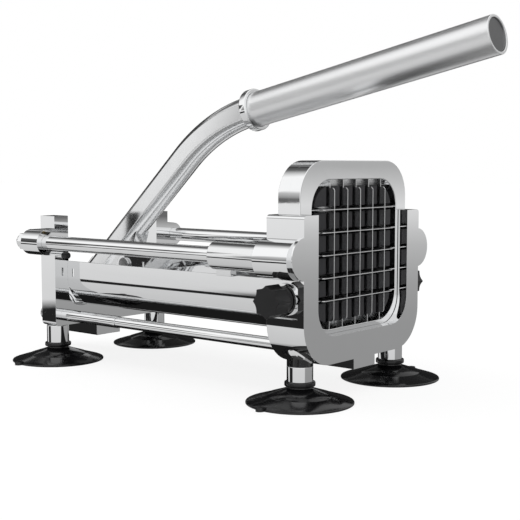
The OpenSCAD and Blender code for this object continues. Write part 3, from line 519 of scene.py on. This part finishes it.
def off_bar(spot):
    """How far a place of the scene is from the bar's middle line, in mm."""
    x, z = spot.x / MM - PIVOT_X, spot.z / MM - PIVOT_Z
    run, rise = x * math.cos(LEAN) + z * math.sin(LEAN), z * math.cos(LEAN) - x * math.sin(LEAN)
    if run > BAR_LENGTH:
        rise = math.hypot(run - BAR_LENGTH, rise + BEND_RADIUS) - BEND_RADIUS
    return math.hypot(rise, spot.y / MM) if run > BAR_START else 0


def bar_section():
    """The bar's round upper and lower sides, as mm across and out, with the flanks between."""
    corner = math.acos(FLANK / BAR_RADIUS)
    turns = [corner + (math.pi - 2 * corner) * i / ROUND_STEPS for i in range(ROUND_STEPS + 1)]
    return [(BAR_RADIUS * math.cos(turn), BAR_RADIUS * math.sin(turn))
            for turn in turns + [turn + math.pi for turn in turns]]


def bent_flat_bar(mesh):
    """Puts a smooth bar with flat flanks in the place of the round one in a mesh."""
    work = bmesh.new()
    work.from_mesh(mesh)
    old = [face for face in work.faces
           if all(abs(off_bar(vertex.co) - BAR_RADIUS) < ON_BAR for vertex in face.verts)]
    bmesh.ops.delete(work, geom=old, context="FACES")
    section = bar_section()
    rings = [[work.verts.new(on_lever(BAR_START, out, y)) for y, out in section]]
    for angle in [BEND * i / BEND_STEPS for i in range(BEND_STEPS + 1)]:
        rings.append([work.verts.new(on_lever(
            BAR_LENGTH + (BEND_RADIUS + out) * math.sin(angle),
            (BEND_RADIUS + out) * math.cos(angle) - BEND_RADIUS, y)) for y, out in section])
    for first, second in zip(rings, rings[1:]):
        for i in range(len(section)):
            work.faces.new((first[i], first[i - 1], second[i - 1], second[i])).smooth = True
    work.faces.new(rings[0])
    work.faces.new(rings[-1][::-1])
    work.to_mesh(mesh)
    work.free()


bent_bar = metal("bent_bar", CHROME, rough=(0.1, 0.16), grain=(130, 130, 130), depth=0.0006,
                 cloud=0.03)

bent_flat_bar(dressed("lever_arm", bent_bar, 0.6).data)


# The grip: a satin steel tube slid over the arm's end against a bright pressed collar, and shut
# by a flat steel cap a little inside its rim.
satin = metal("satin_tube", (0.88, 0.885, 0.89), rough=(0.3, 0.38), grain=(14, 500, 500),
              depth=0.002, cloud=0.05)
cap_steel = metal("cap_steel", (0.19, 0.191, 0.194), rough=(0.3, 0.42), grain=(420, 420, 420),
                  depth=0.004, cloud=0.1)

dressed("grip_collar", cast_chrome, 0.6)
dressed("grip_tube", satin, 0.3)
dressed("grip_end_cap", cap_steel, 0.3)


# The pivot pin and its retaining ring: a headed zinc-plated pin through the bracket's ears and
# the lever's eye, pressed into the ring at its far end.
dressed("pivot_pin", zinc, 0.5)
dressed("pivot_ring", zinc, 0.15)


# The links: two straps cut from steel strip, one on each side of the lever's lug. A headed pin
# and a ring join them to the lug, and short pins join their front eyes to the carriage's tongue.
for side in ("near", "far"):
    dressed("link_strap_" + side, long_polish, 0.35)
dressed("link_pin", zinc, 0.5)
dressed("link_pin_ring", zinc, 0.15)
dressed("link_front_pins", zinc, 0.5)


# The foot posts: turned and chromed studs, screwed up into the two frames, with a pin below that
# is moulded into the cup.
dressed("foot_posts_front", ground_rod, 0.4)
dressed("foot_posts_rear", ground_rod, 0.4)


# The suction cups: moulded in black rubber with a ringed neck, a thin flared skirt with a low
# step and a beaded rim, hollow below, and a tab on the rim to lift it by.
CUP_SKIN = ((0, 4.9), (4.05, 4.9), (4.05, 12.2), (8.2, 12.2), (8.55, 12.05), (8.7, 11.7),
            (8.7, 10.1), (8.5, 9.75), (8.1, 9.6), (6.95, 9.55), (6.9, 9.3), (6.95, 8.7),
            (7.3, 8.35), (9.5, 7.7), (12, 6.85), (18.6, 4.78), (18.9, 4.45), (19.4, 4.3),
            (26, 2.4), (29.6, 1.3), (30.2, 1.05), (30.4, 0.7), (30.35, 0.2), (30.1, 0),
            (28.8, 0), (21.6, 1.15), (14.4, 2.0), (7.2, 2.78), (0, 3.5))
TAB_SKIN = ((28.6, -2.5), (30.9, -2.5), (32.15, -2.17), (33.07, -1.25), (33.4, 0),
            (33.07, 1.25), (32.15, 2.17), (30.9, 2.5), (28.6, 2.5))
CUP_X = (84.244, -123.856)
CUP_Y = (45.6, 45.7)
TAB_ANGLE = math.radians(96)
TAB_LEVELS = ((0.05, 1), (1.75, 1), (2.15, 0.987))  # height in mm, share of the outline
TURN_STEPS = 112
SHARP = math.radians(50)
RING_TURNS = 7000  # radians of the rings' wave per metre, which is a ring every 0.9 mm


def cup_rings(place):
    """Fine rings round each cup, left by the turned mould: the four centres fold into one."""
    middle, half = (CUP_X[0] + CUP_X[1]) / 2 * MM, (CUP_X[0] - CUP_X[1]) / 2 * MM
    along = (place.part(0) - middle).maths("ABSOLUTE") - half
    across = place.part(1).maths("ABSOLUTE") - CUP_Y[0] * MM
    radius = (along * along + across * across).maths("SQRT")
    return (radius * RING_TURNS).maths("SINE") * 0.5 + 0.5


cup_rubber = moulded("cup_rubber", (0.0045, 0.0045, 0.005), rough=(0.1, 0.17), grain=300,
                     depth=0.004, sheen=0.4, pattern=cup_rings)


def cup(name, x, y, side):
    """A turned cup at a place in mm, its tab outwards on that side (-1 is the near one)."""
    work = bmesh.new()
    skin = [work.verts.new((r, 0, z)) for r, z in CUP_SKIN]
    seams = [work.edges.new(pair) for pair in zip(skin, skin[1:])]
    bmesh.ops.spin(work, geom=skin + seams, cent=(0, 0, 0), axis=(0, 0, 1), angle=math.tau,
                   steps=TURN_STEPS, use_merge=True)
    bmesh.ops.remove_doubles(work, verts=work.verts, dist=0.001)
    turn_x, turn_y = math.cos(TAB_ANGLE), math.sin(TAB_ANGLE) * side
    edge = [(r * turn_x - w * turn_y, r * turn_y + w * turn_x) for r, w in TAB_SKIN]
    rows = [[work.verts.new((px * shrink, py * shrink, z)) for px, py in edge]
            for z, shrink in TAB_LEVELS]
    for low, high in zip(rows, rows[1:]):
        for i in range(len(edge)):
            j = (i + 1) % len(edge)
            work.faces.new((low[i], low[j], high[j], high[i]))
    work.faces.new(rows[0])
    work.faces.new(rows[2])
    bmesh.ops.recalc_face_normals(work, faces=work.faces)
    for vert in work.verts:
        vert.co = (vert.co + Vector((x, y, 0))) * MM
    mesh = bpy.data.meshes.new(name + "_finish")
    work.to_mesh(mesh)
    work.free()
    mesh.shade_smooth()
    mesh.set_sharp_from_angle(angle=SHARP)
    mesh.materials.append(cup_rubber)
    piece = bpy.data.objects.new(name + "_finish", mesh)
    scene.collection.objects.link(piece)
    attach(piece, frame["nodes"][name]["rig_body"])
    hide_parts(name)


for end, cup_x, cup_y in zip(("front", "rear"), CUP_X, CUP_Y):
    cup("cup_" + end + "_near", cup_x, -cup_y, -1)
    cup("cup_" + end + "_far", cup_x, cup_y, 1)
